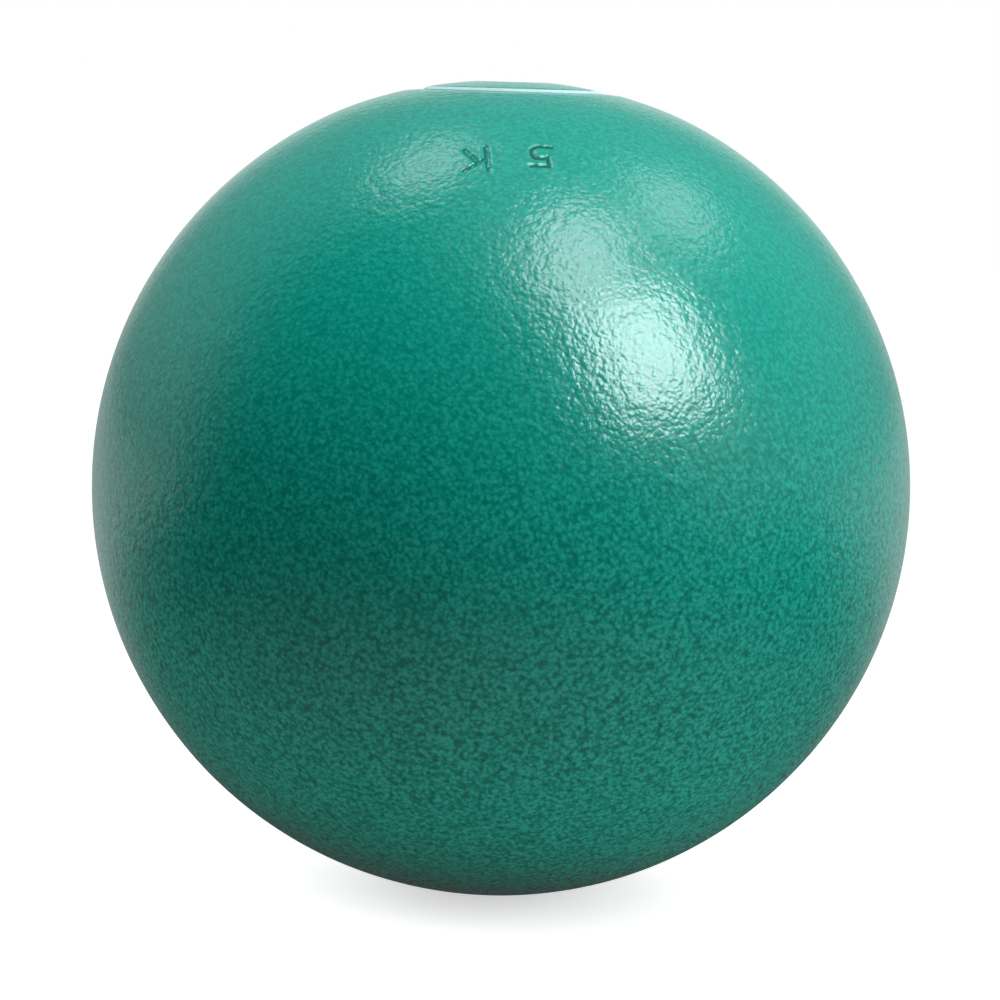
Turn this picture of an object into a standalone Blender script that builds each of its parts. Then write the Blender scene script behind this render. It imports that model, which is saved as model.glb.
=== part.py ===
"""A cast-iron shot put ball with a screwed adjusting plug, piece by piece.

Lengths are in metres and +Z points up. The origin is the centre of the ball, and the plug is at
the top. Under the plug lie the pad and the lead that bring the ball to its throwing weight.
"""

import math

import bmesh
import bpy

# The ball.
BALL_DIAMETER = 0.110
SEAT_SINK = 0.00042
SEAT_MARGIN = 0.0002
BLEND_WIDTH = 0.011

# The plug: a domed head on a threaded shank, turned by a hexagon key.
HEAD_DIAMETER = 0.0248
HEAD_DOME_RADIUS = 0.065
HEAD_RIM = 0.00012
THREAD_DIAMETER = 0.020
THREAD_PITCH = 0.0015
SHANK_LENGTH = 0.014
NECK_LENGTH = 0.0012
POINT_CHAMFER = 0.0009
KEY_SIZE = 0.008
KEY_DEPTH = 0.006
KEY_MOUTH_DIAMETER = 0.0100
KEY_MOUTH_ANGLE = math.radians(60)

# The washer under the head.
WASHER_THICKNESS = 0.0003
WASHER_HOLE_CLEARANCE = 0.0002

# The hole that takes the shank, the pad and the ballast.
MOUTH_CHAMFER = 0.0007
THREAD_RUNOUT = 0.003
DRILL_POINT_ANGLE = math.radians(118)
PAD_THICKNESS = 0.004
PAD_CHAMFER = 0.0005
BALLAST_HEIGHT = 0.0035
BALLAST_CHAMFER = 0.0004

# Fits.
THREAD_CLEARANCE = 0.00006
FACE_CLEARANCE = 0.00003
PACKING_CLEARANCE = 0.0003

# Facets.
STEPS = 72
UPPER_POINTS = 16
LOWER_POINTS = 23
BLEND_POINTS = 6
DOME_POINTS = 8

# A metric thread's flank midline and root, in pitches off its outer diameter.
PITCH_LINE_SHARE = 0.6495
ROOT_SHARE = 1.2269

# Cutters reach this far past the face that they open, and the key mouth's cone starts inside the
# hexagon, at this share of its flat-to-axis distance.
CUTTER_OVERRUN = 0.001
MOUTH_CONE_START_SHARE = 0.9

ball_radius = BALL_DIAMETER / 2
head_radius = HEAD_DIAMETER / 2
seat_radius = head_radius + SEAT_MARGIN
blend_radius = seat_radius + BLEND_WIDTH
seat_height = math.sqrt(ball_radius**2 - seat_radius**2) - SEAT_SINK

washer_bottom = seat_height + FACE_CLEARANCE
washer_top = washer_bottom + WASHER_THICKNESS
head_bottom = washer_top + FACE_CLEARANCE
head_edge = head_bottom + HEAD_RIM
dome_centre = head_edge - math.sqrt(HEAD_DOME_RADIUS**2 - head_radius**2)
head_top = dome_centre + HEAD_DOME_RADIUS

shank_radius = (THREAD_DIAMETER - PITCH_LINE_SHARE * THREAD_PITCH) / 2
neck_radius = (THREAD_DIAMETER - ROOT_SHARE * THREAD_PITCH) / 2
neck_bottom = head_bottom - NECK_LENGTH
shank_bottom = head_bottom - SHANK_LENGTH

bore_radius = shank_radius + THREAD_CLEARANCE
drill_radius = neck_radius + PACKING_CLEARANCE / 2
packing_radius = drill_radius - PACKING_CLEARANCE
thread_end = shank_bottom - THREAD_RUNOUT
pad_top = shank_bottom - PACKING_CLEARANCE
pad_bottom = pad_top - PAD_THICKNESS
ballast_top = pad_bottom - PACKING_CLEARANCE
ballast_shoulder = ballast_top - BALLAST_HEIGHT
drill_half_angle = DRILL_POINT_ANGLE / 2
point_lift = PACKING_CLEARANCE / math.sin(drill_half_angle)


def clear_scene():
    """Removes whatever the file holds, so that the script can run again."""
    for item in list(bpy.data.objects):
        bpy.data.objects.remove(item, do_unlink=True)


def new_collection(name):
    made = bpy.data.collections.new(name)
    bpy.context.scene.collection.children.link(made)
    return made


def new_material(name, colour, roughness, metallic):
    """A plain Principled finish."""
    made = bpy.data.materials.new(name)
    made.use_nodes = True
    shader = made.node_tree.nodes["Principled BSDF"]
    shader.inputs["Base Color"].default_value = (*colour, 1.0)
    shader.inputs["Roughness"].default_value = roughness
    shader.inputs["Metallic"].default_value = metallic
    return made


def cone_drop(radius):
    """How far a drill point of this radius reaches below its shoulder."""
    return radius / math.tan(drill_half_angle)


def sphere_height(radius):
    """The height of the full ball's surface at this distance from the axis."""
    return math.sqrt(ball_radius**2 - radius**2)


def arc(centre_height, radius, first_angle, last_angle, count):
    """Points along a circle centred on the axis, with angles measured from +Z."""
    step = (last_angle - first_angle) / (count - 1)
    angles = [first_angle + step * number for number in range(count)]
    return [(radius * math.sin(a), centre_height + radius * math.cos(a)) for a in angles]


def seat_blend():
    """Points that lead from the faced seat out to the full sphere without a kink."""
    points = []
    for number in range(BLEND_POINTS):
        share = number / BLEND_POINTS
        fade = 1 - share * share * (3 - 2 * share)
        radius = seat_radius + BLEND_WIDTH * share
        points.append((radius, sphere_height(radius) - SEAT_SINK * fade))
    return points


def turned(name, profile, material, home, closed=False):
    """Turns a profile of (radius, height) points about the Z axis into one closed piece.

    The profile runs down its outer side. It starts and ends on the axis, unless it is a closed
    loop, which makes a ring.
    """
    shape = bmesh.new()
    points = [shape.verts.new((radius, 0.0, height)) for radius, height in profile]
    for first, second in zip(points, points[1:]):
        shape.edges.new((first, second))
    if closed:
        shape.edges.new((points[-1], points[0]))
    mesh = bpy.data.meshes.new(name)
    shape.to_mesh(mesh)
    shape.free()
    mesh.materials.append(material)
    piece = bpy.data.objects.new(name, mesh)
    home.objects.link(piece)
    spin = piece.modifiers.new("turn", "SCREW")
    spin.axis = "Z"
    spin.angle = math.tau
    spin.steps = STEPS
    spin.render_steps = STEPS
    spin.use_merge_vertices = True
    spin.merge_threshold = 0.000001
    spin.use_smooth_shade = True
    return piece


def make_cutter(name, mesh_shape, home):
    """Wraps a finished bmesh as a cutter that is never shown as part of the object."""
    mesh = bpy.data.meshes.new(name)
    mesh_shape.to_mesh(mesh)
    mesh_shape.free()
    cutter = bpy.data.objects.new(name, mesh)
    cutter.hide_render = True
    cutter.display_type = "WIRE"
    home.objects.link(cutter)
    return cutter


def cut(piece, cutter):
    """Takes the cutter's shape out of the piece."""
    boolean = piece.modifiers.new(cutter.name, "BOOLEAN")
    boolean.operation = "DIFFERENCE"
    boolean.solver = "EXACT"
    boolean.object = cutter


def make_ball_casting(material, home):
    """The iron ball with its faced seat, tapped hole and drill point."""
    blend_angle = math.asin(blend_radius / ball_radius)
    profile = [
        (0.0, ballast_shoulder - PACKING_CLEARANCE - cone_drop(drill_radius)),
        (drill_radius, ballast_shoulder - PACKING_CLEARANCE),
        (drill_radius, thread_end),
        (bore_radius, thread_end),
        (bore_radius, seat_height - MOUTH_CHAMFER),
        (bore_radius + MOUTH_CHAMFER, seat_height),
    ]
    profile += seat_blend()
    profile += arc(0.0, ball_radius, blend_angle, math.pi / 2, UPPER_POINTS)
    profile += arc(0.0, ball_radius, math.pi / 2, math.pi, LOWER_POINTS)[1:-1]
    profile.append((0.0, -ball_radius))
    return turned("ball_casting", profile, material, home)


def make_key_socket(home):
    """A hexagonal hole, six-sided like the key, with its floor square to the axis."""
    floor = head_top - KEY_DEPTH
    depth = KEY_DEPTH + CUTTER_OVERRUN
    shape = bmesh.new()
    corner_radius = KEY_SIZE / 2 / math.cos(math.pi / 6)
    bmesh.ops.create_cone(
        shape,
        cap_ends=True,
        segments=6,
        radius1=corner_radius,
        radius2=corner_radius,
        depth=depth,
    )
    bmesh.ops.translate(shape, verts=shape.verts, vec=(0.0, 0.0, floor + depth / 2))
    return make_cutter("key_socket_cutter", shape, home)


def make_key_mouth(home):
    """A cone that chamfers the corners of the key hole where they meet the dome."""
    mouth_radius = KEY_MOUTH_DIAMETER / 2
    dome_height = dome_centre + math.sqrt(HEAD_DOME_RADIUS**2 - mouth_radius**2)
    top = head_top + CUTTER_OVERRUN
    widen = math.tan(KEY_MOUTH_ANGLE)
    top_radius = mouth_radius + (top - dome_height) * widen
    bottom_radius = KEY_SIZE / 2 * MOUTH_CONE_START_SHARE
    depth = (top_radius - bottom_radius) / widen
    shape = bmesh.new()
    bmesh.ops.create_cone(
        shape,
        cap_ends=True,
        segments=STEPS,
        radius1=bottom_radius,
        radius2=top_radius,
        depth=depth,
    )
    bmesh.ops.translate(shape, verts=shape.verts, vec=(0.0, 0.0, top - depth / 2))
    return make_cutter("key_mouth_cutter", shape, home)


def make_closing_plug(material, home, cutter_home):
    """The domed plug: head, undercut neck and shank, with its key socket."""
    dome_angle = math.asin(head_radius / HEAD_DOME_RADIUS)
    profile = arc(dome_centre, HEAD_DOME_RADIUS, 0.0, dome_angle, DOME_POINTS)
    profile += [
        (head_radius, head_bottom),
        (neck_radius, head_bottom),
        (neck_radius, neck_bottom),
        (shank_radius, neck_bottom - (shank_radius - neck_radius)),
        (shank_radius, shank_bottom + POINT_CHAMFER),
        (shank_radius - POINT_CHAMFER, shank_bottom),
        (0.0, shank_bottom),
    ]
    plug = turned("closing_plug", profile, material, home)
    cut(plug, make_key_socket(cutter_home))
    cut(plug, make_key_mouth(cutter_home))
    return plug


def make_sealing_washer(material, home):
    """The thin washer whose edge shows round the head. The neck passes through it."""
    hole_radius = neck_radius + WASHER_HOLE_CLEARANCE
    profile = [
        (hole_radius, washer_top),
        (head_radius, washer_top),
        (head_radius, washer_bottom),
        (hole_radius, washer_bottom),
    ]
    return turned("sealing_washer", profile, material, home, closed=True)


def make_packing_pad(material, home):
    """The rubber disc that the plug presses on the ballast, so that nothing rattles."""
    profile = [
        (0.0, pad_top),
        (packing_radius - PAD_CHAMFER, pad_top),
        (packing_radius, pad_top - PAD_CHAMFER),
        (packing_radius, pad_bottom + PAD_CHAMFER),
        (packing_radius - PAD_CHAMFER, pad_bottom),
        (0.0, pad_bottom),
    ]
    return turned("packing_pad", profile, material, home)


def make_ballast_slug(material, home):
    """The lead that trims the weight, cast to the shape of the drilled hole's end."""
    shoulder = ballast_shoulder - PACKING_CLEARANCE + point_lift
    profile = [
        (0.0, ballast_top),
        (packing_radius - BALLAST_CHAMFER, ballast_top),
        (packing_radius, ballast_top - BALLAST_CHAMFER),
        (packing_radius, shoulder + cone_drop(drill_radius - packing_radius)),
        (0.0, shoulder - cone_drop(drill_radius)),
    ]
    return turned("ballast_slug", profile, material, home)


def main():
    clear_scene()
    parts = new_collection("shot_put_ball")
    cutters = new_collection("cutters")
    coat = new_material("ball_coat", (0.012, 0.262, 0.196), 0.28, 0.0)
    plug_coat = new_material("plug_coat", (0.014, 0.270, 0.202), 0.30, 0.0)
    nylon = new_material("washer_nylon", (0.62, 0.76, 0.77), 0.45, 0.0)
    rubber = new_material("pad_rubber", (0.030, 0.030, 0.032), 0.85, 0.0)
    lead = new_material("ballast_lead", (0.20, 0.21, 0.23), 0.55, 1.0)
    make_ball_casting(coat, parts)
    make_closing_plug(plug_coat, parts, cutters)
    make_sealing_washer(nylon, parts)
    make_packing_pad(rubber, parts)
    make_ballast_slug(lead, parts)


main()
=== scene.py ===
"""Shot put ball: detailed pieces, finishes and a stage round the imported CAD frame.

Every length is in metres and +Z points up, along the plug's axis. The origin is the ball's
centre, and -Y points towards the photograph's camera and the stamped weight mark.
"""

import math

import bmesh
import bpy
from bpy.props import FloatProperty, FloatVectorProperty, IntProperty, PointerProperty
from bpy.types import Operator, Panel, PropertyGroup
from mathutils import Matrix, Vector, noise


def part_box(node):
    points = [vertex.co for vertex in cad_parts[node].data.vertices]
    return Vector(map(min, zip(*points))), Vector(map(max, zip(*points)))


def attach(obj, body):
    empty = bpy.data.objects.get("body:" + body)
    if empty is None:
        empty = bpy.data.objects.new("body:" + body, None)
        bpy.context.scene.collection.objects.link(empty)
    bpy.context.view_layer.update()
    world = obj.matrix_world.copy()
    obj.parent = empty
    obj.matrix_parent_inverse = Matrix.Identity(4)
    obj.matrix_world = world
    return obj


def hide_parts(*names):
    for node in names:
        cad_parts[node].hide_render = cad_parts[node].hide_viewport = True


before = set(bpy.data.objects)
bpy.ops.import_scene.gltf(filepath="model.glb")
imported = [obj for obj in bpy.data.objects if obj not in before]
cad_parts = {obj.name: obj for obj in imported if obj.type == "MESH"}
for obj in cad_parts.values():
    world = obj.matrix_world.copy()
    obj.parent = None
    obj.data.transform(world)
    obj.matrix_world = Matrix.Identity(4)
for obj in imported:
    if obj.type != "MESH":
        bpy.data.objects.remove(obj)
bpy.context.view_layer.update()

bl_info = {
    "name": "Shot Put Ball",
    "version": (1, 0, 0),
    "blender": (4, 5, 0),
    "location": "3D View > Sidebar > Shot Put",
    "description": "Models a shot put ball with a screwed adjusting plug, and its studio stage",
    "category": "Add Mesh",
}

# Where the CAD nodes reach.
BALL_LOW, BALL_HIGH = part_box("ball_casting")
PLUG_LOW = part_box("closing_plug")[0]
WASHER_LOW, WASHER_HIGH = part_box("sealing_washer")
BALLAST_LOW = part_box("ballast_slug")[0]

MILLIMETRE = 0.001

# Points closer than MERGE are one point, those beside a cut closer than CUT_MERGE too, and an
# edge within CUT_REACH of a level cut belongs to it.
MERGE = 1e-7
CUT_MERGE = MERGE * 20
CUT_REACH = 1e-6

# A skin is turned in equal sectors, so its steps round are a multiple of them. The threads and the
# washer take this many.
SECTORS = 8
THREAD_STEPS = 96
WASHER_STEPS = 192

# Edges sharper than a crease stay hard. The washer's are rounded first, where they are sharper
# than its rim.
CREASE = math.radians(38)
WASHER_CREASE = math.radians(50)
WASHER_RIM = math.radians(30)

# At the seat's edge the coated surface lies as far under the full sphere as these two together,
# which is the drawing's own sink and the seat's drop. The ball sinks gently over the whole blend
# and steeply beside the seat, in this many rows each.
GENTLE_SINK = 0.00025
STEEP_SINK = 0.00024
STEEP_WIDTH = 0.0022
STEEP_ROWS = 8
GENTLE_ROWS = 9

# The seat's edge is rounded over this width and height.
SEAT_ROUND = (0.00006, 0.00002)

# A metric thread's profile, in pitches, and the height of a crest at the +X side.
CREST_FLAT = 0.125
OUTER_THREAD_DEPTH = 0.6134
INNER_THREAD_DEPTH = 0.5413
FLANK_SLOPE = math.tan(math.radians(30))
FLANK_ROWS = 3
THREAD_PHASE = PLUG_LOW.z

# The tapped hole. Its mouth is wider than the thread, with a short land over a chamfer, and the
# seat's bare ring starts a little further out. The two open loops within SEAT_REACH of the seat's
# height are bridged. The thread runs out under the plug, and the drill's point ends a little under
# the ballast.
MOUTH_CHAMFER = 0.0004
MOUTH_LAND = 0.00004
MOUTH_EDGE = 0.0002
SEAT_REACH = 0.0001
TAP_REACH = 0.003
TAP_SLOPE = 0.6
DRILL_SLOPE = math.tan(math.radians(59))
POINT_ROOM = 0.00035

# The plug's head. Its underside keeps a gap to the washer. Its edges are rounded by points that
# lie (inwards, down) from the key hole's mouth and from the rim, and (inwards, up) from the
# underside's edge. The dome's rows stop short of both.
HEAD_UNDERSIDE = WASHER_HIGH.z + 0.00003
MOUTH_ROUND = ((0.00005, 0.000030), (0.0, 0.000007))
RIM_ROUND = ((0.00002, 0.000008), (0.0, 0.000025))
UNDER_ROUND = ((0.00001, 0.00001), (0.00003, 0.0))
DOME_MARGIN = 0.00006
DOME_ROWS = 20

# The key hole: its chamfer, a row of points under the mouth and one over the floor, and the loops
# on the floor as shares of the hexagon.
KEY_CHAMFER_SLOPE = math.tan(math.radians(60))
KEY_TOP_ROW = 0.0012
KEY_LOW_ROW = 0.0003
KEY_FLOOR_LOOPS = (0.8, 0.35)

# The shank: its neck under the head, with a fillet above and a slope to the thread below, its end,
# which is turned down under the thread's root and rounded, and the lathe centre in the end.
NECK_LENGTH = 0.0012
NECK_FILLET = 0.00012
NECK_SLOPE = 1.2
NECK_REACH = 0.0001
END_STEP = 0.00008
END_LAND = 0.00005
END_ROUND = 0.0001
CENTRE_RADIUS = 0.0022
CENTRE_DEPTH = 0.0012

# The weight mark's strokes, as (right, up) points in millimetres for a reader behind the ball,
# with each character's place as its angle from +Z and its turn from -Y towards +X, in degrees.
WEIGHT_MARK = (
    (35.44, -7.27, (((-0.61, -2.49), (-1.58, 2.18)),
                    ((1.90, -1.62), (-0.10, 0.81)),
                    ((-0.66, 0.27), (1.42, 2.44)))),
    (34.71, 6.81, (((-1.45, -2.17), (0.29, -2.28), (0.96, -1.78), (1.11, -0.80), (0.82, 0.13),
                    (0.03, 0.31), (-0.81, -0.05), (-0.88, 1.77), (1.38, 1.72)),)),
)

# The patch that holds the mark: its angles from +Z, its reach to either side of -Y, and how many
# cuts its faces take.
MARK_BAND = (math.radians(31.0), math.radians(39.6))
MARK_REACH = math.radians(13.7)
MARK_CUTS = 9

# The lip beside a stroke starts, peaks and ends this far from the stroke's middle, in widths of
# its mouth.
LIP_START, LIP_TOP, LIP_END = 0.40, 0.62, 1.1

# The casting's slow waves, as their widths with how far each wanders.
WAVES = ((0.016, 0.5), (0.006, 0.25))

# The coat. Its speckle is partly a random tone and partly painted shade, darker in the pebbles'
# valleys and lighter on their tops. Its bloom is a painted sheen on the pebbles' tops. Both are at
# their full strength low on the ball, below this band of heights, and at their least above it. The
# tint runs between these shares of the coat's. The relief is a mix of cells and clouds, and this
# is the share of the cells.
LOW_BAND = (-0.03, 0.035)
SPECKLE_SHADE_RANGE = (0.14, 0.96)
SPECKLE_SHADE_MIDDLE = 0.42
SPECKLE_SHADE_LEAST = 0.3
SHEEN_RANGE = (0.38, 0.88)
SHEEN_LEAST = 0.18
SHEEN_MORE = 0.5
COAT_SHADES = (0.45, 1.85)
COAT_ROUGHNESS = 0.21
COAT_IOR = 1.7
CELL_SHARE = 0.35

# The mark's strokes. By the first of these the tint goes over to the second share of the coat's,
# which is painted shade in the strokes, and the metal is as bare as the third, from wear. The rust
# is patches of a noise of this size, cut off over this range.
STROKE_SHADE_WEIGHT, STROKE_SHADE, WORN_BARE = 0.7, 0.7, 0.6
RUST_SHARE, RUST_SIZE = 0.3, 0.0026
RUST_RANGE = (0.54, 0.64)
RUST = (0.10, 0.18, 0.10)

# The bare metals, by the gap between the lathe's rings and the roughness.
IRON_TURNING = (0.00012, 0.35)
STEEL_TURNING = (0.0002, 0.28)

NYLON_IOR = 1.53

# The room's light: that of its walls and of the wall straight behind the ball in mirrored rays,
# and that of its air in the others.
WALL_LIGHT = 0.27
BACK_WALL_LIGHT = 0.6
AIR_LIGHT = 0.3

# The floor darkens to this share over the first ring of distances. In mirrored rays it glows
# behind the ball, and faintly near it, within the second ring. To the camera it is white but for
# what the ball shades.
FLOOR_RADIUS = 30.0
FLOOR_SIDES = 96
DARK_RING, DARK_SHARE = (0.095, 0.2), 0.15
NEAR_RING, NEAR_GLOW = (0.06, 0.2), 0.08
BEHIND_BAND, BEHIND_GLOW = (-0.04, 0.2), 0.55
SHADOW_LEVEL, OPEN_LEVEL = 0.55, 1.4
SHADOW_REACH = 0.4

BLACK = (0.0, 0.0, 0.0)
WHITE = (1.0, 1.0, 1.0)

# The photograph camera's pitch, yaw and roll in degrees, its sensor's width in millimetres, and
# how near it sees.
CAMERA_TURNS = (7.8503, -0.0116, 1.71)
SENSOR_WIDTH = 36.0
CLIP_START = 0.01

# The lamps: azimuth and elevation, width and height, all in degrees, the setting and the share of
# it that give the brightness, and what sets each apart.
LAMPS = (
    ("key_lamp", (49, 39.5), (27, 29), "key_light", 1.0, {"fills": False}),
    ("top_lamp", (46, 68), (30, 17), "top_light", 1.0, {"turned": 38.0}),
    ("back_right_lamp", (116, 56), (22, 15), "back_light", 1.0, {}),
    ("back_left_lamp", (-138, 68), (18, 12), "back_light", 1.2, {}),
    ("low_right_fill", (74, 12), (42, 26), "fill_light", 1.85, {"mirrored": False}),
    ("high_right_fill", (45, 65), (30, 30), "fill_light", 2.35, {"mirrored": False}),
    ("left_fill", (-115, 16), (45, 25), "fill_light", 1.6, {"mirrored": False}),
    ("overhead_fill", (10, 80), (30, 30), "fill_light", 1.65, {"mirrored": False}),
)


def length(name, description, default):
    """A length that a user may change."""
    return FloatProperty(
        name=name, description=description, default=default, precision=5,
        subtype="DISTANCE", unit="LENGTH",
    )


def colour(name, description, default):
    """A colour that a user may change."""
    return FloatVectorProperty(
        name=name, description=description, default=default, subtype="COLOR", min=0.0, max=1.0
    )


def brightness(name, description, default):
    """A lamp's brightness that a user may change, with 1 for white."""
    return FloatProperty(name=name, description=description, default=default)


class BallSettings(PropertyGroup):
    diameter: length("Diameter", "Across the ball", 2 * BALL_HIGH.x)
    seat_radius: length("Seat radius", "Radius of the flat that the plug closes on", 0.0123)
    seat_drop: length("Seat drop", "How far the seat lies below the drawing's", 0.00007)
    bare_radius: length("Bare radius", "Radius inside which the seat is bare iron", 0.0117)
    blend_width: length("Blend width", "Ring over which the ball runs down to the seat", 0.0119)
    columns: IntProperty(
        name="Columns", description="Faces round the ball, a multiple of 8", default=288,
        min=48, max=360,
    )
    mark_depth: length("Mark depth", "How deep the weight mark is struck", 0.00010)
    mark_floor: length("Mark floor", "Width of a stroke's floor", 0.00030)
    mark_mouth: length("Mark mouth", "Width of a stroke at the surface", 0.00112)
    mark_lip: length("Mark lip", "Height of the metal pushed up beside a stroke", 0.00003)
    waviness: length("Waviness", "Depth of the casting's slow waves", 0.00004)
    pebble_size: length("Pebble size", "Width of one pebble of the powder coat", 0.00061)
    pebble_height: length("Pebble height", "Height of one pebble of the powder coat", 0.000078)
    swell_size: length("Swell size", "Width of one slow swell of the powder coat", 0.0015)
    swell_height: length("Swell height", "Height of one slow swell of the powder coat", 0.00008)
    coat: colour("Coat", "The powder coat", (0.002, 0.340, 0.258))
    # The bloom colour is a painted sheen that the coat puts on its pebbles' tops.
    bloom_and_sheen: colour("Bloom", "The powder coat on the pebbles' tops", (0.050, 0.400, 0.330))
    iron: colour("Bare iron", "Machined cast iron", (0.30, 0.30, 0.31))


class PlugSettings(PropertyGroup):
    head_radius: length("Head radius", "Radius of the plug's head", 0.01095)
    dome_radius: length("Dome radius", "Radius of the head's dome", 0.0596)
    head_rim: length("Head rim", "Height of the head's edge", 0.00005)
    thread_diameter: length("Thread diameter", "Outer diameter of the thread", 0.020)
    pitch: length("Thread pitch", "Rise of the thread in one turn", 0.0015)
    thread_clearance: length("Thread clearance", "Radial play in the tapped hole", 0.00006)
    key_size: length("Key size", "Across the flats of the key hole", 0.008)
    key_depth: length("Key depth", "From the dome's top to the key hole's floor", 0.006)
    key_mouth: length("Key mouth", "Diameter of the key hole's chamfer", 0.0096)
    columns: IntProperty(
        name="Columns", description="Faces round the head, a multiple of 24", default=144
    )
    steel: colour("Bare steel", "The shank and its thread", (0.42, 0.43, 0.44))


class WasherSettings(PropertyGroup):
    radius: length("Radius", "Outer radius of the washer", 0.0119)
    swell: length("Swell", "How far each face stands past the drawing's", 0.000022)
    neck_clearance: length("Neck clearance", "Play round the plug's neck", 0.0002)
    edge_slope: length("Edge slope", "Ring over which the washer thins outwards", 0.00060)
    edge_height: length("Edge height", "Height of the washer's outer edge", 0.00006)
    edge_round: length("Edge round", "Rounding of the washer's edges", 0.00002)
    nylon: colour("Nylon", "The washer", (0.52, 0.75, 0.76))


class PackingSettings(PropertyGroup):
    rubber: colour("Rubber", "The pad", (0.030, 0.030, 0.032))
    lead: colour("Lead", "The ballast", (0.20, 0.21, 0.23))


class StageSettings(PropertyGroup):
    floor_colour: colour("Floor", "The floor", (0.65, 0.62, 0.575))
    camera_distance: length("Camera distance", "From the ball's centre", 0.400)
    camera_height: length("Camera height", "Above the ball's centre", 0.0533)
    focal_length: FloatProperty(
        name="Focal length", description="The camera's lens", default=107.143, unit="CAMERA"
    )
    key_light: brightness("Key light", "Brightness of the front light", 9.7)
    top_light: brightness("Top light", "Brightness of the overhead strip", 4.8)
    back_light: brightness("Back light", "Brightness of the two lights behind", 2.2)
    fill_light: brightness("Fill light", "Brightness of the lights that only fill", 2.2)
    lamp_tint: colour("Lamp tint", "The lamps' faint blue", (0.93, 0.97, 1.0))


# Shaping.


def draw(shape, points):
    """Draws a chain of (radius, height) points in the XZ plane."""
    corners = [shape.verts.new((radius, 0.0, height)) for radius, height in points]
    for pair in zip(corners, corners[1:]):
        shape.edges.new(pair)
    return corners


def draw_arc(shape, start, angle, steps):
    """Draws on from a vertex along a circle about the origin, away from +Z, to the last one."""
    made = bmesh.ops.spin(
        shape, geom=[start], cent=(0, 0, 0), axis=(0, 1, 0), dvec=(0, 0, 0), angle=angle,
        steps=steps,
    )
    return next(item for item in made["geom_last"] if isinstance(item, bmesh.types.BMVert))


def turn(shape, steps, rise=0.0):
    """Turns the drawn outline about Z into a skin, and lifts it by rise on the way round."""
    sector = math.tau / SECTORS
    around = {"cent": (0, 0, 0), "axis": (0, 0, 1)}
    bmesh.ops.spin(
        shape, geom=shape.verts[:] + shape.edges[:], angle=sector, steps=steps // SECTORS,
        dvec=(0, 0, rise / steps), **around,
    )
    bmesh.ops.spin(
        shape, geom=shape.verts[:] + shape.edges[:] + shape.faces[:], use_duplicate=True,
        angle=math.tau - sector, steps=SECTORS - 1, dvec=(0, 0, rise / SECTORS), **around,
    )
    bmesh.ops.remove_doubles(shape, verts=shape.verts, dist=MERGE)


def outline_of_thread(crest_radius, depth, pitch, start):
    """One pitch of a thread's outline, from the middle of one crest to the next."""
    flank = depth * pitch * FLANK_SLOPE
    crest = CREST_FLAT * pitch / 2
    root_radius = crest_radius - depth * pitch
    rising = []
    for number in range(FLANK_ROWS + 1):
        share = number / FLANK_ROWS
        rising.append((crest_radius - depth * pitch * share, crest + flank * share))
    points = [(crest_radius, 0.0)] + rising
    points += [(root_radius, pitch / 2)]
    points += [(radius, pitch - height) for radius, height in reversed(rising)]
    points += [(crest_radius, pitch)]
    return [(radius, start + height) for radius, height in points]


def sweep_thread(shape, outline, pitch, turns):
    """Turns a thread's outline up a right-hand helix, so that each turn joins the next."""
    chain = [
        (radius, height + pitch * number)
        for number in range(turns) for radius, height in outline[:-1]
    ]
    draw(shape, chain)
    turn(shape, THREAD_STEPS, rise=pitch)


def limit_radius(shape, limits):
    """Holds every point between the two radii that limits gives for its height."""
    for vert in shape.verts:
        radius = math.hypot(vert.co.x, vert.co.y)
        low, high = limits(vert.co.z)
        scale = min(max(radius, low), high) / radius
        vert.co.x *= scale
        vert.co.y *= scale


def trim(shape, height, keep_above):
    """Cuts the shape level at a height and returns the edges of the cut."""
    bmesh.ops.bisect_plane(
        shape, geom=shape.verts[:] + shape.edges[:] + shape.faces[:], dist=MERGE,
        plane_co=(0, 0, height), plane_no=(0, 0, 1),
        clear_outer=not keep_above, clear_inner=keep_above,
    )
    bmesh.ops.remove_doubles(shape, verts=shape.verts, dist=CUT_MERGE)
    return open_edges(shape, lambda middle: abs(middle.z - height) < CUT_REACH)


def open_edges(shape, test):
    """The edges of the skin's holes whose middles pass a test."""
    return [
        edge for edge in shape.edges
        if edge.is_boundary and test((edge.verts[0].co + edge.verts[1].co) / 2)
    ]


def grow(shape, edges, place):
    """Extrudes a loop of edges, with each new vertex where place puts it."""
    made = bmesh.ops.extrude_edge_only(shape, edges=edges)["geom"]
    for vert in made:
        if isinstance(vert, bmesh.types.BMVert):
            vert.co = place(vert.co)
    return [item for item in made if isinstance(item, bmesh.types.BMEdge)]


def at_ring(radius, height):
    """A place function for grow: the same direction from the axis, at a radius and height."""
    def place(point):
        out = Vector((point.x, point.y, 0.0)).normalized() * radius
        out.z = height
        return out
    return place


def close_point(shape, edges, height):
    """Closes a loop of edges to one point on the axis."""
    last = grow(shape, edges, lambda point: Vector((0.0, 0.0, height)))
    verts = dict.fromkeys(vert for edge in last for vert in edge.verts)
    bmesh.ops.pointmerge(shape, verts=list(verts), merge_co=(0.0, 0.0, height))


def join_bare(shape, other, seam):
    """Adds another shape as bare metal, bridging the open loops whose middles pass seam."""
    for face in other.faces:
        face.material_index = 1
    mesh = bpy.data.meshes.new("joined")
    other.to_mesh(mesh)
    other.free()
    shape.from_mesh(mesh)
    bpy.data.meshes.remove(mesh)
    for face in bmesh.ops.bridge_loops(shape, edges=open_edges(shape, seam))["faces"]:
        face.material_index = 1


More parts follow.
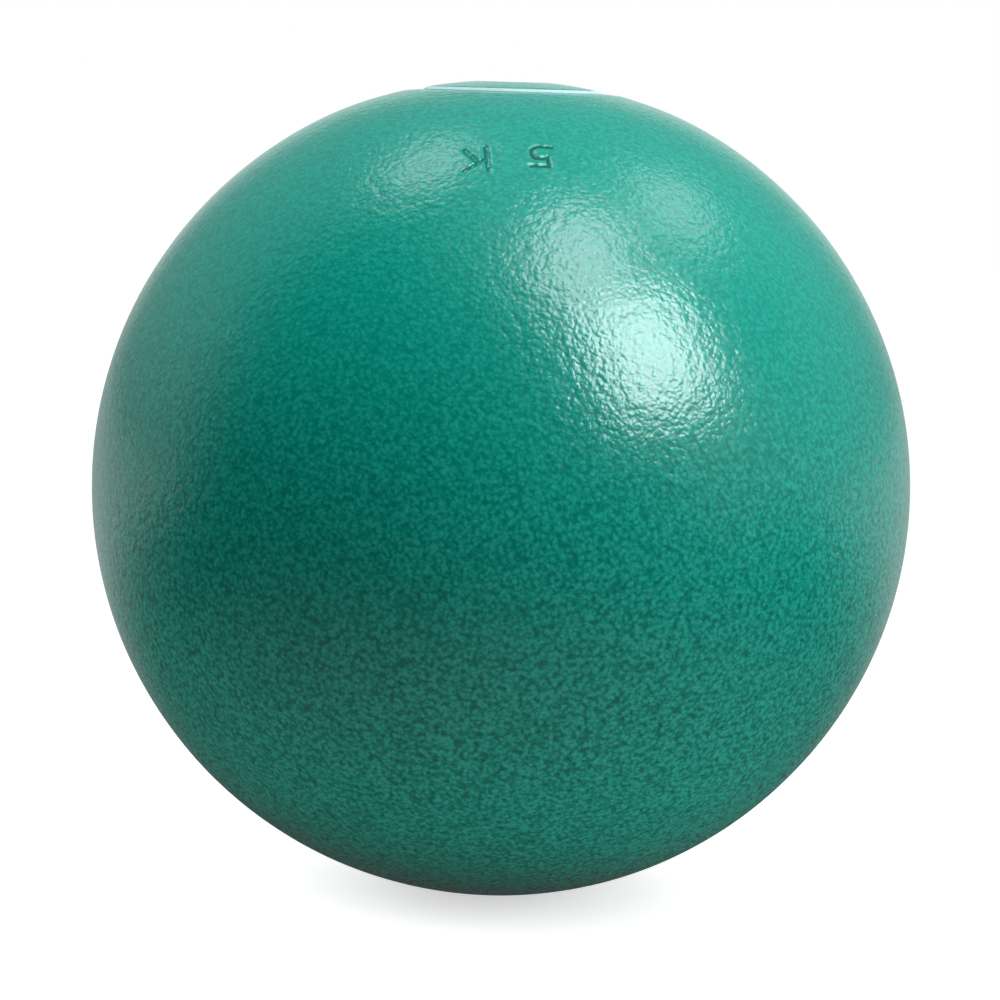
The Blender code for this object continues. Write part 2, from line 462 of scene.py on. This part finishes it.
def finish_shape(shape, crease=CREASE, soft=None):
    """Turns the faces outwards and smooth. Edges over crease stay hard, unless soft has them."""
    bmesh.ops.recalc_face_normals(shape, faces=shape.faces)
    for face in shape.faces:
        face.smooth = True
    for edge in shape.edges:
        if soft is not None and soft(edge.verts[0].co):
            continue
        if edge.calc_face_angle(0.0) > crease:
            edge.smooth = False


def add_piece(name, shape, finishes, body, replaced):
    """Makes a finished shape an object that rides on a body and stands for CAD nodes."""
    mesh = bpy.data.meshes.new(name)
    shape.to_mesh(mesh)
    shape.free()
    for finish in finishes:
        mesh.materials.append(finish)
    piece = bpy.data.objects.new(name, mesh)
    bpy.context.scene.collection.objects.link(piece)
    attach(piece, body)
    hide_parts(*replaced)


def sphere_height(radius, ball_radius):
    """The full sphere's height at a radius from the axis."""
    return math.sqrt(ball_radius**2 - radius**2)


def smooth_share(value, low, high):
    """Runs smoothly from 0 at low to 1 at high."""
    share = min(max((value - low) / (high - low), 0.0), 1.0)
    return share * share * (3 - 2 * share)


# Finishes.


class Wire:
    """A node's output, or a plain tree to start from. Arithmetic on it adds Math nodes."""

    def __init__(self, tree, socket=None):
        self.tree = tree
        self.socket = socket

    def node(self, kind, settings=None, values=None, output=0):
        """Adds a node: its settings first, then its sockets' values or links."""
        made = self.tree.nodes.new(kind)
        for name, value in (settings or {}).items():
            setattr(made, name, value)
        for name, value in (values or {}).items():
            self.feed(made.inputs[name], value)
        return Wire(self.tree, made.outputs[output])

    def feed(self, socket, value):
        if isinstance(value, Wire):
            self.tree.links.new(value.socket, socket)
        else:
            socket.default_value = value

    def maths(self, operation, *values):
        """A Math node's result."""
        return self.node("ShaderNodeMath", {"operation": operation}, dict(enumerate(values)))

    def __add__(self, other):
        return self.maths("ADD", self, other)

    __radd__ = __add__

    def __sub__(self, other):
        return self.maths("SUBTRACT", self, other)

    def __rsub__(self, other):
        return self.maths("SUBTRACT", other, self)

    def __mul__(self, other):
        return self.maths("MULTIPLY", self, other)

    __rmul__ = __mul__

    def most(self, other):
        return self.maths("MAXIMUM", self, other)

    def step(self, low, high):
        """Runs smoothly from 0 at low to 1 at high."""
        return self.node(
            "ShaderNodeMapRange", {"interpolation_type": "SMOOTHSTEP"},
            {"Value": self, "From Min": low, "From Max": high},
        )

    def between(self, first, second):
        """Mixes two colours by this value."""
        return self.node(
            "ShaderNodeMix", {"data_type": "RGBA"},
            {0: self, 6: solid(first), 7: solid(second)}, 2,
        )

    def grain(self, size, detail=2.0, roughness=0.5):
        """Noise on these coordinates whose lumps are about this size."""
        values = {"Vector": self, "Scale": 1 / size, "Detail": detail, "Roughness": roughness}
        return self.node("ShaderNodeTexNoise", {}, values)

    def parts(self):
        """The three parts of a vector."""
        made = self.tree.nodes.new("ShaderNodeSeparateXYZ")
        self.tree.links.new(self.socket, made.inputs[0])
        return [Wire(self.tree, output) for output in made.outputs]

    def level_distance(self):
        """How far a place lies from the +Z axis."""
        across, along, _ = self.parts()
        squares = across * across + along * along
        return squares.maths("SQRT", squares)


def solid(tint):
    """A colour as a socket takes it."""
    return tint if isinstance(tint, Wire) else (*tint[:3], 1.0)


def shade(tint, factor):
    """A colour made darker or lighter."""
    return tuple(part * factor for part in tint[:3])


def new_finish(name):
    """An empty material and a wire to start its nodes from."""
    made = bpy.data.materials.new(name)
    made.use_nodes = True
    made.node_tree.nodes.clear()
    start = Wire(made.node_tree)
    return made, start


def end_finish(start, surface):
    output = start.tree.nodes.new("ShaderNodeOutputMaterial")
    start.tree.links.new(surface.socket, output.inputs["Surface"])


def object_place(start):
    """Where a point of the surface lies in the piece, in metres."""
    return start.node("ShaderNodeTexCoord", output="Object")


def bump(height, distance):
    """The normal of a surface whose relief is height, from 0 to 1, over a distance."""
    return height.node(
        "ShaderNodeBump", {}, {"Height": height, "Distance": distance, "Strength": 1.0}
    )


def pebbles(place, size):
    """The powder coat's relief: small rounded lumps with narrow valleys, from 0 to about 1."""
    wander = place.node(
        "ShaderNodeTexNoise", {}, {"Vector": place, "Scale": 1 / size, "Detail": 0.0}, "Color"
    )
    shifted = wander.node(
        "ShaderNodeVectorMath", {"operation": "MULTIPLY_ADD"},
        {0: wander, 1: (size * 0.6,) * 3, 2: place},
    )
    cells = shifted.node(
        "ShaderNodeTexVoronoi", {"feature": "F1"},
        {"Vector": shifted, "Scale": 1 / size, "Randomness": 1.0}, "Distance",
    )
    clouds = place.grain(size * 1.15, 1.0)
    return (1 - cells.step(0.0, 1.0)) * CELL_SHARE + clouds * (1 - CELL_SHARE)


def coat_finish(name, settings, marked):
    """Glossy pebbled powder coat with painted shade in its pebbles' valleys and a painted sheen on
    their tops, and with painted shade, bare wear and a little rust in the weight mark's strokes.
    """
    made, start = new_finish(name)
    place = object_place(start)
    relief = pebbles(place, settings.pebble_size)
    slow = place.grain(0.012, 2.0)
    low_on_ball = 1 - place.parts()[2].step(*LOW_BAND)
    # Painted shade, partly random tone: the speckle darkens the pebbles' valleys and lightens
    # their tops, most of all low on the ball.
    speckle_and_crease_shade = relief + (place.grain(settings.pebble_size * 0.5, 1.0) - 0.5) * 0.5
    strength = SPECKLE_SHADE_LEAST + low_on_ball * (1 - SPECKLE_SHADE_LEAST)
    level = SPECKLE_SHADE_MIDDLE + (speckle_and_crease_shade.step(*SPECKLE_SHADE_RANGE) - SPECKLE_SHADE_MIDDLE) * strength
    tint = level.between(*(shade(settings.coat, share) for share in COAT_SHADES))
    # Painted sheen: a paler, redder colour on the pebbles' tops, stronger low on the ball.
    bloom_and_sheen = relief.step(*SHEEN_RANGE) * (SHEEN_LEAST + low_on_ball * SHEEN_MORE)
    tint = bloom_and_sheen.between(tint, settings.bloom_and_sheen)
    bare = 0.0
    if marked:
        depth = start.node(
            "ShaderNodeAttribute", {"attribute_name": "mark_depth"}, output="Fac"
        )
        worn_and_shaded = depth.step(0.2, 0.9)
        rust = place.grain(RUST_SIZE, 1.0).step(*RUST_RANGE) * depth.step(0.6, 1.0)
        # Painted shade: the strokes' colour goes over to a darker share of the coat. The bare
        # metal and the rust are wear.
        tint = (worn_and_shaded * STROKE_SHADE_WEIGHT).between(tint, shade(settings.coat, STROKE_SHADE))
        tint = (rust * RUST_SHARE).between(tint, RUST)
        bare = worn_and_shaded * WORN_BARE
    swell = place.grain(settings.swell_size, 1.0)
    height = relief + swell * (settings.swell_height / settings.pebble_height)
    end_finish(start, start.node("ShaderNodeBsdfPrincipled", {}, {
        "Base Color": tint, "Roughness": COAT_ROUGHNESS + slow * 0.03, "Metallic": bare,
        "IOR": COAT_IOR, "Normal": bump(height, settings.pebble_height),
    }))
    return made


def turned_metal_finish(name, tint, ring_gap, roughness):
    """Bare metal with fine rings from the lathe and a few darker stains."""
    made, start = new_finish(name)
    place = object_place(start)
    profile = {"X": place.level_distance(), "Y": place.parts()[2]}
    rings = place.node("ShaderNodeCombineXYZ", {}, profile).grain(ring_gap, 3.0, 0.6)
    stains = place.grain(0.003, 3.0)
    colour_here = stains.step(0.35, 0.7).between(shade(tint, 0.72), tint)
    end_finish(start, start.node("ShaderNodeBsdfPrincipled", {}, {
        "Base Color": colour_here, "Metallic": 1.0,
        "Roughness": roughness + rings * 0.15 + stains * 0.12,
        "Normal": bump(rings, 0.000006),
    }))
    return made


def nylon_finish(settings):
    """Pale nylon, slightly translucent, with faint moulding swirls."""
    made, start = new_finish("washer_nylon_finish")
    place = object_place(start)
    swirl = place.grain(0.0016, 3.0)
    tint = swirl.step(0.3, 0.7).between(shade(settings.nylon, 0.93), settings.nylon)
    end_finish(start, start.node("ShaderNodeBsdfPrincipled", {}, {
        "Base Color": tint, "Roughness": 0.7 + swirl * 0.2, "IOR": NYLON_IOR,
        "Subsurface Weight": 0.25, "Subsurface Scale": 0.0008,
        "Normal": bump(swirl, 0.000008),
    }))
    return made


def rubber_finish(settings):
    """Matt black rubber with a faint bloom."""
    made, start = new_finish("pad_rubber_finish")
    place = object_place(start)
    bloom_and_sheen = place.grain(0.0022, 4.0)
    grain = place.grain(0.00025, 2.0)
    tint = bloom_and_sheen.step(0.45, 0.8).between(settings.rubber, shade(settings.rubber, 2.2))
    end_finish(start, start.node("ShaderNodeBsdfPrincipled", {}, {
        "Base Color": tint, "Roughness": 0.72 + bloom_and_sheen * 0.2,
        "Normal": bump(grain, 0.00002),
    }))
    return made


def lead_finish(settings):
    """Dull cast lead, brighter where it was rubbed."""
    made, start = new_finish("ballast_lead_finish")
    place = object_place(start)
    cast = place.grain(0.0018, 4.0)
    rubbed = place.grain(0.004, 2.0).step(0.5, 0.75)
    tint = rubbed.between(settings.lead, shade(settings.lead, 1.7))
    end_finish(start, start.node("ShaderNodeBsdfPrincipled", {}, {
        "Base Color": tint, "Metallic": 0.85, "Roughness": 0.62 - rubbed * 0.2,
        "Normal": bump(cast, 0.00008),
    }))
    return made


# The ball.


def seat_height(settings):
    """The height of the flat that the plug closes on. The solids' own is a little higher."""
    return BALL_HIGH.z - settings.seat_drop


def shoulder_height(radius, settings):
    """The coated surface's height at a radius between the seat and the full sphere."""
    out = radius - settings.seat_radius
    gentle = 1 - smooth_share(out, 0.0, settings.blend_width)
    steep = 1 - smooth_share(out, 0.0, STEEP_WIDTH)
    sink = GENTLE_SINK * gentle + STEEP_SINK * steep
    return sphere_height(radius, settings.diameter / 2) - sink


def mark_frames(ball_radius):
    """Each character's middle, its right and up directions, and its strokes in metres."""
    frames = []
    for polar, turned, strokes in WEIGHT_MARK:
        polar, turned = math.radians(polar), math.radians(turned)
        out = Vector((
            math.sin(polar) * math.sin(turned), -math.sin(polar) * math.cos(turned),
            math.cos(polar),
        ))
        right = Vector((-math.cos(turned), -math.sin(turned), 0.0))
        up = Vector((
            math.cos(polar) * math.sin(turned), -math.cos(polar) * math.cos(turned),
            -math.sin(polar),
        ))
        lines = []
        for stroke in strokes:
            points = [Vector((a * MILLIMETRE, b * MILLIMETRE)) for a, b in stroke]
            lines += list(zip(points, points[1:]))
        frames.append((out * ball_radius, right, up, lines))
    return frames


def distance_to_line(point, line):
    """How far a point lies from the nearest point of a line between two."""
    first, second = line
    along = second - first
    share = min(max((point - first).dot(along) / along.length_squared, 0.0), 1.0)
    return (point - first - along * share).length


def in_mark_band(point):
    """Whether a point lies in the patch that holds the weight mark."""
    polar = math.atan2(math.hypot(point.x, point.y), point.z)
    turned = math.atan2(point.x, -point.y)
    return MARK_BAND[0] < polar < MARK_BAND[1] and abs(turned) < MARK_REACH


def strike_mark(shape, settings):
    """Presses the weight mark into the ball and keeps its depth for the finish."""
    radius = settings.diameter / 2
    mouth = settings.mark_mouth
    patch = [face for face in shape.faces if in_mark_band(face.calc_center_median())]
    edges = dict.fromkeys(edge for face in patch for edge in face.edges)
    bmesh.ops.subdivide_edges(shape, edges=list(edges), cuts=MARK_CUTS, use_grid_fill=True)
    depth_layer = shape.verts.layers.float.new("mark_depth")
    frames = mark_frames(radius)
    for vert in shape.verts:
        point = vert.co
        if point.z < 0 or not in_mark_band(point):
            continue
        vert.co = point.normalized() * radius
        nearest = min(
            distance_to_line(
                Vector(((vert.co - middle).dot(right), (vert.co - middle).dot(up))), line
            )
            for middle, right, up, lines in frames
            for line in lines
        )
        struck = 1 - smooth_share(nearest, settings.mark_floor / 2, mouth / 2)
        lip = smooth_share(nearest, mouth * LIP_START, mouth * LIP_TOP)
        lip *= 1 - smooth_share(nearest, mouth * LIP_TOP, mouth * LIP_END)
        vert[depth_layer] = struck
        vert.co *= 1 - (struck * settings.mark_depth - lip * settings.mark_lip) / radius


def wave_casting(shape, settings):
    """Sinks the skin a little here and there, as a casting's surface wanders."""
    for vert in shape.verts:
        if math.hypot(vert.co.x, vert.co.y) < settings.seat_radius and vert.co.z > 0:
            continue
        slow = sum(noise.noise(vert.co / width) * share for width, share in WAVES)
        sink = settings.waviness * min(max(0.5 + slow, 0.0), 1.0)
        vert.co *= 1 - sink / vert.co.length


def make_ball_skin(settings, mouth_radius):
    """The ball's outside, from the seat's inner edge to its lowest point."""
    shape = bmesh.new()
    radius = settings.diameter / 2
    seat = seat_height(settings)
    points = [
        (mouth_radius, seat), (settings.bare_radius, seat),
        (settings.seat_radius - SEAT_ROUND[0], seat),
        (settings.seat_radius, seat - SEAT_ROUND[1]),
    ]
    steps = [STEEP_WIDTH * number / STEEP_ROWS for number in range(1, STEEP_ROWS + 1)]
    gap = (settings.blend_width - STEEP_WIDTH) / GENTLE_ROWS
    steps += [STEEP_WIDTH + gap * number for number in range(1, GENTLE_ROWS + 1)]
    for step in steps:
        out = settings.seat_radius + step
        points.append((out, shoulder_height(out, settings)))
    end = draw(shape, points)[-1]
    rest = math.pi - math.asin(end.co.x / radius)
    lowest = draw_arc(shape, end, rest, round(math.degrees(rest)))
    lowest.co = (0.0, 0.0, -radius)
    turn(shape, settings.columns)
    strike_mark(shape, settings)
    wave_casting(shape, settings)
    return shape


def add_tapped_hole(shape, plug, mouth_radius, seat):
    """Joins the tapped hole with its chamfered mouth and drill point to the seat's inner edge."""
    pitch = plug.pitch
    crest = plug.thread_diameter / 2 + plug.thread_clearance
    drill_radius = crest - INNER_THREAD_DEPTH * pitch
    runout = PLUG_LOW.z - TAP_REACH
    turns = math.ceil((seat - runout) / pitch) + 2
    start = THREAD_PHASE + pitch * math.floor((runout - THREAD_PHASE) / pitch - 1)
    hole = bmesh.new()
    outline = outline_of_thread(crest, INNER_THREAD_DEPTH, pitch, start)
    sweep_thread(hole, outline, pitch, turns)
    limit_radius(hole, lambda height: (
        max(drill_radius, mouth_radius - max(seat - MOUTH_LAND - height, 0.0)),
        max(drill_radius + max(height - runout, 0.0) * TAP_SLOPE, mouth_radius - (seat - height)),
    ))
    trim(hole, seat, keep_above=False)
    low = trim(hole, runout, keep_above=True)
    shoulder = BALLAST_LOW.z + drill_radius / DRILL_SLOPE
    low = grow(hole, low, at_ring(drill_radius, shoulder))
    close_point(hole, low, BALLAST_LOW.z - POINT_ROOM)
    join_bare(shape, hole, lambda middle: abs(middle.z - seat) < SEAT_REACH)


class SHOTPUT_OT_ball(Operator):
    """Model the iron ball with its seat, tapped hole, struck weight mark and powder coat"""

    bl_idname = "shotput.ball"
    bl_label = "Ball Casting"

    def execute(self, context):
        settings = context.scene.shot_put_ball
        plug = context.scene.shot_put_plug
        mouth_radius = plug.thread_diameter / 2 + MOUTH_CHAMFER
        shape = make_ball_skin(settings, mouth_radius + MOUTH_EDGE)
        for face in shape.faces:
            middle = face.calc_center_median()
            if math.hypot(middle.x, middle.y) < settings.bare_radius and middle.z > 0:
                face.material_index = 1
        add_tapped_hole(shape, plug, mouth_radius, seat_height(settings))
        finish_shape(shape, soft=in_mark_band)
        finishes = [
            coat_finish("ball_coat_finish", settings, marked=True),
            turned_metal_finish("bare_iron_finish", settings.iron, *IRON_TURNING),
        ]
        add_piece("ball_casting_skin", shape, finishes, "ball", ["ball_casting"])
        return {"FINISHED"}


# The plug.


def dome_height(radius, settings):
    """The head's surface at a radius from the axis."""
    edge = HEAD_UNDERSIDE + settings.head_rim
    centre = edge - math.sqrt(settings.dome_radius**2 - settings.head_radius**2)
    return centre + math.sqrt(settings.dome_radius**2 - radius**2)


def make_plug_head(settings):
    """The head's dome, rounded rim and underside as far in as the neck."""
    shape = bmesh.new()
    mouth = settings.key_mouth / 2
    outer = settings.head_radius
    inner_edge, outer_edge = dome_height(mouth, settings), dome_height(outer, settings)
    first, last = mouth + DOME_MARGIN, outer - DOME_MARGIN
    points = [(mouth - inwards, inner_edge - down) for inwards, down in MOUTH_ROUND]
    for number in range(DOME_ROWS):
        radius = first + (last - first) * number / (DOME_ROWS - 1)
        points.append((radius, dome_height(radius, settings)))
    points += [(outer - inwards, outer_edge - down) for inwards, down in RIM_ROUND]
    points += [(outer - inwards, HEAD_UNDERSIDE + up) for inwards, up in UNDER_ROUND]
    points.append((neck_radius(settings) + NECK_FILLET, HEAD_UNDERSIDE))
    draw(shape, points)
    turn(shape, settings.columns)
    return shape


def neck_radius(settings):
    """The neck is as thick as the thread's root."""
    return settings.thread_diameter / 2 - OUTER_THREAD_DEPTH * settings.pitch


def hexagon_radius(point, settings):
    """The key hole's distance from the axis in a point's direction. Its flats face 0, 60, ..."""
    sixth = math.pi / 3
    angle = math.atan2(point.y, point.x)
    off_flat = (angle + sixth / 2) % sixth - sixth / 2
    return settings.key_size / 2 / math.cos(off_flat)


def add_key_hole(shape, settings):
    """Sinks the hexagonal key hole with its chamfered mouth, loop by loop."""
    mouth = settings.key_mouth / 2
    rim_height = dome_height(mouth, settings)
    floor = dome_height(0.0, settings) - settings.key_depth

    def to_hexagon(share, height=None):
        def place(point):
            out = Vector((point.x, point.y, 0.0)).normalized()
            radius = hexagon_radius(point, settings) * share
            out *= radius
            drop = (mouth - radius) / KEY_CHAMFER_SLOPE
            out.z = rim_height - drop if height is None else height
            return out
        return place

    edges = open_edges(shape, lambda middle: middle.xy.length < mouth + MERGE)
    edges = grow(shape, edges, to_hexagon(1.0))
    for height in (rim_height - KEY_TOP_ROW, floor + KEY_LOW_ROW, floor):
        edges = grow(shape, edges, to_hexagon(1.0, height))
    for share in KEY_FLOOR_LOOPS:
        edges = grow(shape, edges, to_hexagon(share, floor))
    close_point(shape, edges, floor)


def add_shank(shape, settings):
    """The neck and the threaded shank with its pointed end, joined under the head."""
    pitch = settings.pitch
    crest = settings.thread_diameter / 2
    root = neck_radius(settings)
    end_radius = root - END_STEP
    neck_bottom = HEAD_UNDERSIDE - NECK_LENGTH
    bottom = PLUG_LOW.z
    turns = math.ceil((neck_bottom - bottom) / pitch) + 3
    shank = bmesh.new()
    outline = outline_of_thread(crest, OUTER_THREAD_DEPTH, pitch, THREAD_PHASE - 2 * pitch)
    sweep_thread(shank, outline, pitch, turns)
    limit_radius(shank, lambda height: (
        end_radius if height < bottom + pitch else root,
        min(max(end_radius + height - bottom - END_LAND, end_radius),
            max(root + (neck_bottom - height) * NECK_SLOPE, root)),
    ))
    low = trim(shank, bottom, keep_above=True)
    low = grow(shank, low, at_ring(end_radius - END_ROUND, bottom))
    low = grow(shank, low, at_ring(CENTRE_RADIUS, bottom))
    close_point(shank, low, bottom + CENTRE_DEPTH)
    trim(shank, neck_bottom + NECK_REACH, keep_above=False)
    join_bare(shape, shank, lambda middle: middle.z > neck_bottom)


class SHOTPUT_OT_plug(Operator):
    """Model the plug: domed head with its key hole, neck and threaded shank"""

    bl_idname = "shotput.plug"
    bl_label = "Closing Plug"

    def execute(self, context):
        settings = context.scene.shot_put_plug
        shape = make_plug_head(settings)
        add_key_hole(shape, settings)
        add_shank(shape, settings)
        finish_shape(shape)
        finishes = [
            coat_finish("plug_coat_finish", context.scene.shot_put_ball, marked=False),
            turned_metal_finish("bare_steel_finish", settings.steel, *STEEL_TURNING),
        ]
        add_piece("closing_plug_turned", shape, finishes, "plug", ["closing_plug"])
        return {"FINISHED"}


# The washer, the pad and the ballast.


class SHOTPUT_OT_washer(Operator):
    """Model the thin nylon washer under the plug's head"""

    bl_idname = "shotput.washer"
    bl_label = "Sealing Washer"

    def execute(self, context):
        settings = context.scene.shot_put_washer
        inner = neck_radius(context.scene.shot_put_plug) + settings.neck_clearance
        outer = settings.radius
        low = WASHER_LOW.z - settings.swell - context.scene.shot_put_ball.seat_drop
        high = WASHER_HIGH.z + settings.swell
        shape = bmesh.new()
        corners = draw(shape, [
            (inner, high), (outer - settings.edge_slope, high),
            (outer, low + settings.edge_height), (outer, low), (inner, low),
        ])
        shape.edges.new((corners[-1], corners[0]))
        turn(shape, WASHER_STEPS)
        bmesh.ops.recalc_face_normals(shape, faces=shape.faces)
        rims = [edge for edge in shape.edges if edge.calc_face_angle(0.0) > WASHER_RIM]
        bmesh.ops.bevel(
            shape, geom=rims, offset=settings.edge_round, offset_type="OFFSET", segments=3,
            profile=0.5, affect="EDGES", material=-1,
        )
        finish_shape(shape, crease=WASHER_CREASE)
        add_piece(
            "sealing_washer_ring", shape, [nylon_finish(settings)], "washer",
            ["sealing_washer"],
        )
        return {"FINISHED"}


def dress(name, finish):
    """Gives a CAD node that stays a finish of its own."""
    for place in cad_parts[name].material_slots:
        place.link = "OBJECT"
        place.material = finish


class SHOTPUT_OT_packing(Operator):
    """Finish the rubber pad and the lead ballast at the bottom of the hole"""

    bl_idname = "shotput.packing"
    bl_label = "Pad and Ballast"

    def execute(self, context):
        settings = context.scene.shot_put_packing
        dress("packing_pad", rubber_finish(settings))
        dress("ballast_slug", lead_finish(settings))
        return {"FINISHED"}


# The stage.


def direction(azimuth, elevation):
    """A direction from the ball, turned from -Y towards +X and raised, in degrees."""
    azimuth, elevation = math.radians(azimuth), math.radians(elevation)
    return Vector((
        math.cos(elevation) * math.sin(azimuth), -math.cos(elevation) * math.cos(azimuth),
        math.sin(elevation),
    ))


def add_lamp(name, place, spread, level, tint, turned=0.0, mirrored=True, fills=True):
    """A soft lamp at an azimuth and elevation. Its spread is in degrees, and its level 1 is white.

    A lamp that isn't mirrored is hidden from glossy rays, and one that doesn't fill from diffuse.
    """
    (azimuth, elevation), (width, height) = place, spread
    lamp = bpy.data.lights.new(name, "AREA")
    lamp.shape = "RECTANGLE"
    lamp.size = 2 * math.tan(math.radians(width / 2))
    lamp.size_y = 2 * math.tan(math.radians(height / 2))
    lamp.energy = math.pi * lamp.size * lamp.size_y * level
    lamp.color = tint
    holder = bpy.data.objects.new(name, lamp)
    away = direction(azimuth, elevation)
    facing = away.to_track_quat("Z", "Y").to_matrix().to_4x4()
    around = Matrix.Rotation(math.radians(turned), 4, "Z")
    holder.matrix_world = Matrix.Translation(away) @ facing @ around
    holder.visible_camera = False
    holder.visible_glossy = mirrored
    holder.visible_diffuse = fills
    bpy.context.scene.collection.objects.link(holder)


def add_camera(settings):
    """The photograph's camera. Its tilt and slight roll follow the photograph."""
    pitch, yaw, roll = (math.radians(angle) for angle in CAMERA_TURNS)
    forward = Vector((
        math.sin(yaw) * math.cos(pitch), math.cos(yaw) * math.cos(pitch), -math.sin(pitch)
    ))
    level = forward.cross(Vector((0, 0, 1))).normalized()
    upright = level.cross(forward)
    right = level * math.cos(roll) + upright * math.sin(roll)
    up = upright * math.cos(roll) - level * math.sin(roll)
    data = bpy.data.cameras.new("photograph_camera")
    data.lens = settings.focal_length
    data.sensor_width = SENSOR_WIDTH
    data.clip_start = CLIP_START
    camera = bpy.data.objects.new("photograph_camera", data)
    turned = Matrix((right, up, -forward)).transposed().to_4x4()
    place = Vector((0.0, -settings.camera_distance, settings.camera_height))
    camera.matrix_world = Matrix.Translation(place) @ turned
    bpy.context.scene.collection.objects.link(camera)
    bpy.context.scene.camera = camera


def seen_directly(start):
    """Three values, each 1 for its own rays: the camera's, glossy ones and those let through."""
    rays = start.tree.nodes.new("ShaderNodeLightPath")
    names = ("Is Camera Ray", "Is Glossy Ray", "Is Transmission Ray")
    return [Wire(start.tree, rays.outputs[name]) for name in names]


def make_world():
    """A room that is white behind the object and dim on the camera's side."""
    world = bpy.data.worlds.new("studio")
    world.use_nodes = True
    world.node_tree.nodes.clear()
    start = Wire(world.node_tree)
    bpy.context.scene.world = world
    sky = start.node("ShaderNodeTexCoord", output="Generated")
    depth = sky.parts()[1]
    camera, glossy, through = seen_directly(start)
    walls = depth.step(-0.1, 0.3) * WALL_LIGHT + depth.step(0.87, 0.98) * BACK_WALL_LIGHT
    light = glossy * walls + (1 - glossy) * depth.step(0.2, 0.9) * AIR_LIGHT
    room = camera.most(through).between(light.between(BLACK, WHITE), WHITE)
    surface = start.node("ShaderNodeBackground", {}, {"Color": room, "Strength": 1.0})
    output = start.tree.nodes.new("ShaderNodeOutputWorld")
    start.tree.links.new(surface.socket, output.inputs["Surface"])


def floor_finish(settings):
    """A pale floor that is white to the camera but for the ball's shadow.

    To the ball's own rays it gets darker away from the ball, and mirrored it is a faint glow.
    """
    made, start = new_finish("studio_floor_finish")
    place = object_place(start)
    distance = place.level_distance()
    camera, glossy, through = seen_directly(start)
    away = distance.step(*DARK_RING)
    tint = away.between(settings.floor_colour, shade(settings.floor_colour, DARK_SHARE))
    lit = start.node("ShaderNodeBsdfDiffuse", {}, {"Color": glossy.between(tint, BLACK)})
    open_sky = start.node(
        "ShaderNodeAmbientOcclusion", {"samples": 16}, {"Distance": SHADOW_REACH}, "AO"
    )
    white = camera.most(through) * (SHADOW_LEVEL + open_sky * OPEN_LEVEL)
    near = (1 - distance.step(*NEAR_RING)) * NEAR_GLOW
    behind = place.parts()[1].step(*BEHIND_BAND) * BEHIND_GLOW
    light = white + behind.most(near) * glossy
    glow = start.node(
        "ShaderNodeEmission", {}, {"Color": light.between(BLACK, WHITE), "Strength": 1.0}
    )
    end_finish(start, lit.node("ShaderNodeAddShader", {}, {0: lit, 1: glow}))
    return made


def make_floor(settings):
    """A wide floor that the ball stands on."""
    shape = bmesh.new()
    bmesh.ops.create_circle(shape, cap_ends=True, segments=FLOOR_SIDES, radius=FLOOR_RADIUS)
    bmesh.ops.translate(shape, verts=shape.verts, vec=(0.0, 0.0, BALL_LOW.z))
    mesh = bpy.data.meshes.new("studio_floor")
    shape.to_mesh(mesh)
    shape.free()
    mesh.materials.append(floor_finish(settings))
    floor = bpy.data.objects.new("studio_floor", mesh)
    bpy.context.scene.collection.objects.link(floor)


class SHOTPUT_OT_stage(Operator):
    """Set up the floor, the world, the lamps and the photograph's camera"""

    bl_idname = "shotput.stage"
    bl_label = "Studio Stage"

    def execute(self, context):
        settings = context.scene.shot_put_stage
        context.scene.view_settings.view_transform = "Standard"
        add_camera(settings)
        make_world()
        make_floor(settings)
        for name, place, spread, light, share, more in LAMPS:
            level = getattr(settings, light) * share
            add_lamp(name, place, spread, level, settings.lamp_tint, **more)
        return {"FINISHED"}


class SHOTPUT_PT_panel(Panel):
    """The shot put ball's sizes and colours, and its makers"""

    bl_idname = "SHOTPUT_PT_panel"
    bl_label = "Shot Put Ball"
    bl_space_type = "VIEW_3D"
    bl_region_type = "UI"
    bl_category = "Shot Put"

    def draw(self, context):
        for maker, store in MAKERS:
            box = self.layout.box()
            box.operator(maker.bl_idname)
            settings = getattr(context.scene, store)
            for name in settings.bl_rna.properties.keys():
                if name not in ("rna_type", "name"):
                    box.prop(settings, name)


MAKERS = (
    (SHOTPUT_OT_ball, "shot_put_ball"),
    (SHOTPUT_OT_plug, "shot_put_plug"),
    (SHOTPUT_OT_washer, "shot_put_washer"),
    (SHOTPUT_OT_packing, "shot_put_packing"),
    (SHOTPUT_OT_stage, "shot_put_stage"),
)
STORES = {
    "shot_put_ball": BallSettings,
    "shot_put_plug": PlugSettings,
    "shot_put_washer": WasherSettings,
    "shot_put_packing": PackingSettings,
    "shot_put_stage": StageSettings,
}


def register():
    for kind in STORES.values():
        bpy.utils.register_class(kind)
    for maker, store in MAKERS:
        bpy.utils.register_class(maker)
    bpy.utils.register_class(SHOTPUT_PT_panel)
    for store, kind in STORES.items():
        setattr(bpy.types.Scene, store, PointerProperty(type=kind))


def unregister():
    for store in STORES:
        delattr(bpy.types.Scene, store)
    bpy.utils.unregister_class(SHOTPUT_PT_panel)
    for maker, store in MAKERS:
        bpy.utils.unregister_class(maker)
    for kind in STORES.values():
        bpy.utils.unregister_class(kind)


def main():
    register()
    bpy.ops.shotput.ball()
    bpy.ops.shotput.plug()
    bpy.ops.shotput.washer()
    bpy.ops.shotput.packing()
    bpy.ops.shotput.stage()


if __name__ == "__main__":
    main()
